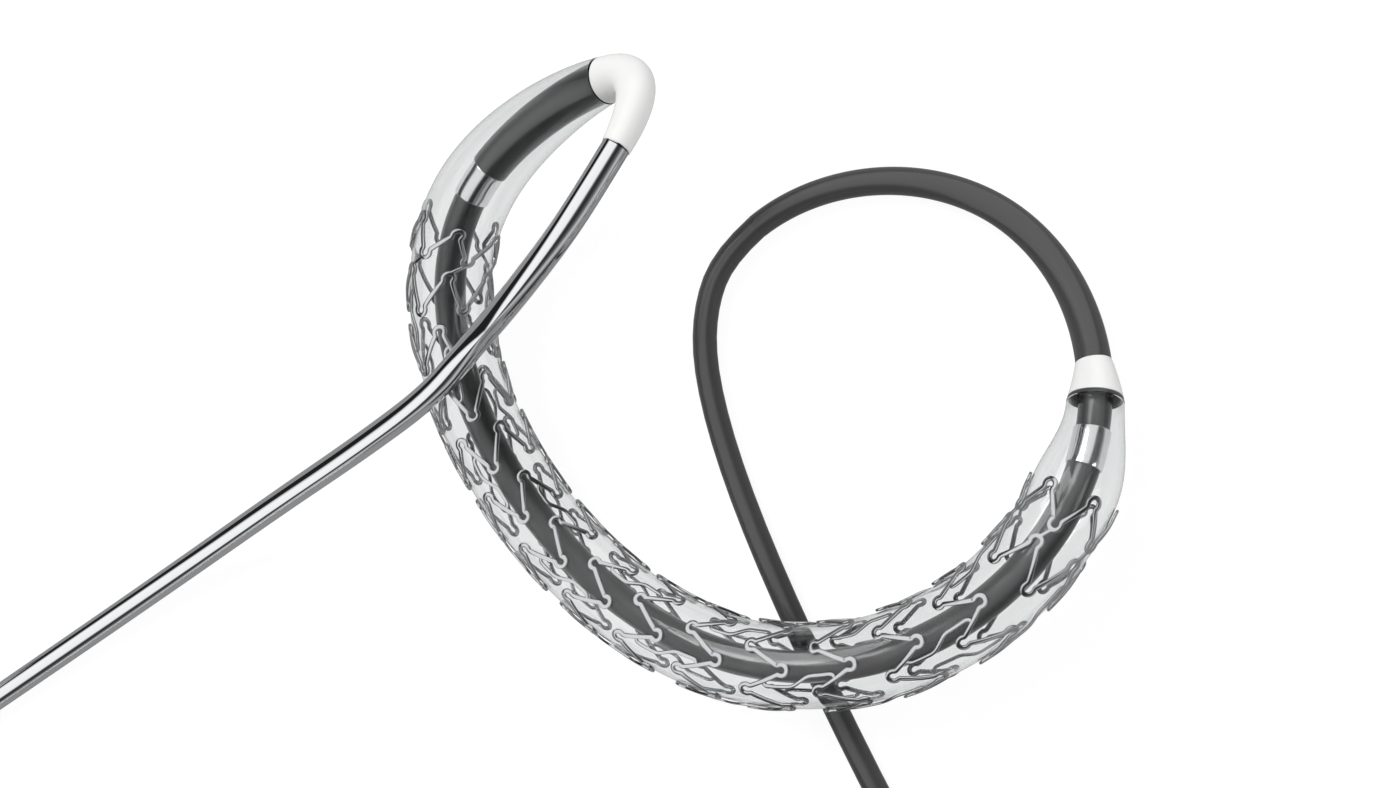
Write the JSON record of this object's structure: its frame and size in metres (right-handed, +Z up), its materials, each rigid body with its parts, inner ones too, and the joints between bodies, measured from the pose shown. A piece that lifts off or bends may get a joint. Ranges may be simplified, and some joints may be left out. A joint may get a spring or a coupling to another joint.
{
  "type": "balloon-expandable coronary stent on its delivery catheter",
  "caption": "Laser-cut tubular stent, expanded on the clear balloon of its delivery catheter, with marker bands, soft tip, guidewire and hub.",
  "frame": {"origin": "on the floor, under the middle of the bent stent, balloon, tip and tapered shaft", "axes": "+Z up, +Y toward the bend of the soft tip, +X toward the proximal bond"},
  "size_m": [0.058, 0.0508, 0.0086],
  "materials": {
    "stent_metal": "electropolished cobalt chromium",
    "balloon_film": "clear thin film",
    "dark_shaft": "satin",
    "wire_metal": "polished stainless steel",
    "marker_metal": "polished platinum alloy",
    "white_polymer": "glossy",
    "outer_shaft": "satin",
    "relief_rubber": "matte",
    "hub_polymer": "moulded, glossy"
  },
  "bodies": {
    "root": {"stent": "stent_metal", "balloon": "balloon_film", "inner_shaft": "dark_shaft", "guidewire_core": "wire_metal", "proximal_marker_band": "marker_metal", "distal_marker_band": "marker_metal", "distal_sleeve": "dark_shaft", "soft_tip": "white_polymer", "proximal_bond": "white_polymer", "shaft_socket": "dark_shaft", "tapered_shaft": "outer_shaft", "outer_shaft": "outer_shaft", "outer_shaft_coil": "outer_shaft", "outer_shaft_tail": "outer_shaft", "guidewire": "wire_metal", "guidewire_coil": "wire_metal", "strain_relief": "relief_rubber", "hub": "hub_polymer"}
  },
  "joints": []
}
